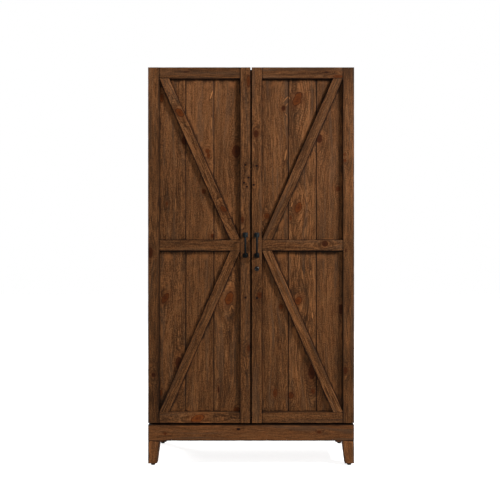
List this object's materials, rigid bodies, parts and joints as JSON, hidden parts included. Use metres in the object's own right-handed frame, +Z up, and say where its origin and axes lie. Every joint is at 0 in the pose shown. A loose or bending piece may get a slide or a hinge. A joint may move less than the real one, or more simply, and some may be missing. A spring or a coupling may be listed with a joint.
{
  "type": "wine cabinet",
  "caption": "Tall knotty pine wine cabinet with planked, braced double doors, black pulls, a door lock, bottle bins, stemware rails and an apron base on tapered legs.",
  "frame": {"origin": "on the floor below the middle of the cabinet's box, pulls included", "axes": "+X to the right along the front, the doors face -Y, +Z up"},
  "size_m": [0.965, 0.487, 1.865],
  "materials": {
    "stained_pine": "satin lacquer over brown stain",
    "back_board": "thin stained plywood",
    "black_iron": "black hammered iron",
    "lock_metal": "blackened nickel",
    "hinge_brass": "antiqued brass",
    "screw_steel": "zinc plated",
    "catch_plastic": "moulded brown plastic",
    "glide_plastic": "moulded black nylon"
  },
  "bodies": {
    "cabinet": {"base_front_rail": "stained_pine", "base_back_rail": "stained_pine", "base_side_rails": "stained_pine", "corner_blocks": "stained_pine", "front_left_leg": "stained_pine", "front_right_leg": "stained_pine", "back_left_leg": "stained_pine", "back_right_leg": "stained_pine", "left_side": "stained_pine", "right_side": "stained_pine", "top_panel": "stained_pine", "bottom_panel": "stained_pine", "back_panel": "back_board", "wall_rail": "stained_pine", "serving_shelf": "stained_pine", "bin_shelf": "stained_pine", "adjustable_shelf": "stained_pine", "shelf_pins": "screw_steel", "stemware_rails": "stained_pine", "bin_partition": "stained_pine", "left_bin_dividers": "stained_pine", "right_bin_dividers": "stained_pine", "cabinet_hinge_leaves": "hinge_brass", "hinge_pins": "hinge_brass", "magnetic_catches": "catch_plastic", "lock_strike": "hinge_brass", "cabinet_fasteners": "screw_steel"},
    "left_door": {"left_door_outer_stile": "stained_pine", "left_door_meeting_stile": "stained_pine", "left_door_top_rail": "stained_pine", "left_door_middle_rail": "stained_pine", "left_door_bottom_rail": "stained_pine", "left_door_planks": "stained_pine", "left_door_upper_brace": "stained_pine", "left_door_lower_brace": "stained_pine", "left_door_pull": "black_iron", "left_door_hinge_leaves": "hinge_brass", "left_door_catch_plates": "hinge_brass", "left_door_screws": "screw_steel", "bolt_housing": "hinge_brass"},
    "right_door": {"right_door_outer_stile": "stained_pine", "right_door_meeting_stile": "stained_pine", "right_door_top_rail": "stained_pine", "right_door_middle_rail": "stained_pine", "right_door_bottom_rail": "stained_pine", "right_door_planks": "stained_pine", "right_door_upper_brace": "stained_pine", "right_door_lower_brace": "stained_pine", "right_door_pull": "black_iron", "right_door_hinge_leaves": "hinge_brass", "right_door_catch_plates": "hinge_brass", "right_door_screws": "screw_steel", "lock_cylinder": "lock_metal", "lock_nut": "lock_metal"},
    "slide_bolt": {"slide_bolt": "hinge_brass"},
    "lock_cam": {"lock_cam": "lock_metal"},
    "front_left_leveller": {"front_left_leveller": "glide_plastic"},
    "front_right_leveller": {"front_right_leveller": "glide_plastic"},
    "back_left_leveller": {"back_left_leveller": "glide_plastic"},
    "back_right_leveller": {"back_right_leveller": "glide_plastic"}
  },
  "joints": [
    {"name": "left_door_swing", "type": "hinge", "parent": "cabinet", "child": "left_door", "pos_m": [-0.479, -0.187, 1.03225], "axis": [0, 0, -1], "range_deg": [0, 130]},
    {"name": "right_door_swing", "type": "hinge", "parent": "cabinet", "child": "right_door", "pos_m": [0.479, -0.187, 1.03225], "axis": [0, 0, 1], "range_deg": [0, 130]},
    {"name": "lock_turn", "type": "hinge", "parent": "right_door", "child": "lock_cam", "pos_m": [0.027, -0.2135, 0.92225], "axis": [0, -1, 0], "range_deg": [0, 90]},
    {"name": "slide_bolt_throw", "type": "slide", "parent": "left_door", "child": "slide_bolt", "axis": [0, 0, 1], "range_m": [0, 0.016]},
    {"name": "front_left_leveller_turn", "type": "hinge", "parent": "cabinet", "child": "front_left_leveller", "pos_m": [-0.461, -0.192, 0], "axis": [0, 0, 1], "continuous": true},
    {"name": "front_right_leveller_turn", "type": "hinge", "parent": "cabinet", "child": "front_right_leveller", "pos_m": [0.461, -0.192, 0], "axis": [0, 0, 1], "continuous": true},
    {"name": "back_left_leveller_turn", "type": "hinge", "parent": "cabinet", "child": "back_left_leveller", "pos_m": [-0.461, 0.222, 0], "axis": [0, 0, 1], "continuous": true},
    {"name": "back_right_leveller_turn", "type": "hinge", "parent": "cabinet", "child": "back_right_leveller", "pos_m": [0.461, 0.222, 0], "axis": [0, 0, 1], "continuous": true}
  ]
}
